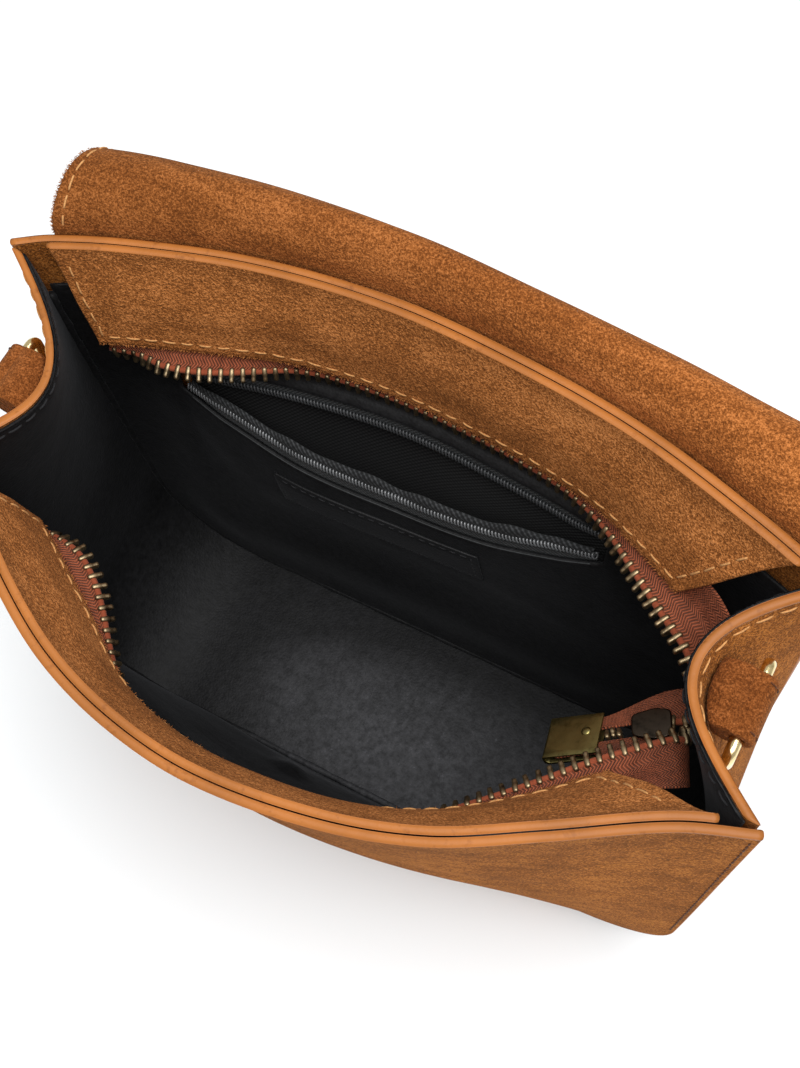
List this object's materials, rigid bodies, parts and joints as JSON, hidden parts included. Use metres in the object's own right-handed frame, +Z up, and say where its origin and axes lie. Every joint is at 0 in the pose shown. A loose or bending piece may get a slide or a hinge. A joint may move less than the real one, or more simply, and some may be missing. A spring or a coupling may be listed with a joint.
{
  "type": "crossbody bag",
  "caption": "Small soft suede bag standing open, with a flap thrown back, an open zip mouth, a folded gusset, a black inner bag with a pocket, and strap rings on its sides.",
  "frame": {"origin": "middle of the ground under the base, halfway between the front and back seams of the gusset", "axes": "+X to the bag's right seen from the front, +Y to its back, +Z up"},
  "size_m": [0.2112, 0.1345, 0.1677],
  "materials": {
    "suede": "tan brown suede with a soft nap, raw edges painted orange tan",
    "lining": "black smooth lining cloth with a soft sheen",
    "pocket_twill": "black cotton twill",
    "pocket_zip": "black woven zip tape with a nylon coil",
    "black_leather": "black smooth leather with a turned and stitched edge",
    "zip_tape": "rust brown woven cotton tape",
    "teeth": "antique brass, lightly worn",
    "slider": "dark bronze",
    "clamp": "olive antique brass, pressed plate with a rivet",
    "magnet": "plain nickelled disc, hidden behind the lining",
    "ring": "polished pale gold wire"
  },
  "bodies": {
    "bag": {"front_panel": "suede", "back_panel": "suede", "gusset": "suede", "front_facing": "suede", "back_facing": "suede", "lining_front": "lining", "lining_gusset": "lining", "zip_tape_front": "zip_tape", "zip_tape_back": "zip_tape", "zip_teeth_front": "teeth", "zip_teeth_back": "teeth", "zip_teeth_closed": "teeth", "zip_slider": "slider", "zip_end_clamp": "clamp", "lining_back": "lining", "pocket_bag": "pocket_twill", "pocket_zip_upper": "pocket_zip", "pocket_zip_lower": "pocket_zip", "inner_patch": "black_leather", "magnet_disc": "magnet", "flap": "suede", "tab_left": "suede", "tab_right": "suede"},
    "ring_left": {"d_ring_left": "ring"},
    "ring_right": {"d_ring_right": "ring"}
  },
  "joints": [
    {"name": "ring_left_swing", "type": "hinge", "parent": "bag", "child": "ring_left", "pos_m": [-0.08913, -0.001, 0.147], "axis": [0, 1, 0], "range_deg": [-4, 150]},
    {"name": "ring_right_swing", "type": "hinge", "parent": "bag", "child": "ring_right", "pos_m": [0.09599, -0.001, 0.147], "axis": [0, 1, 0], "range_deg": [-150, 4]}
  ]
}
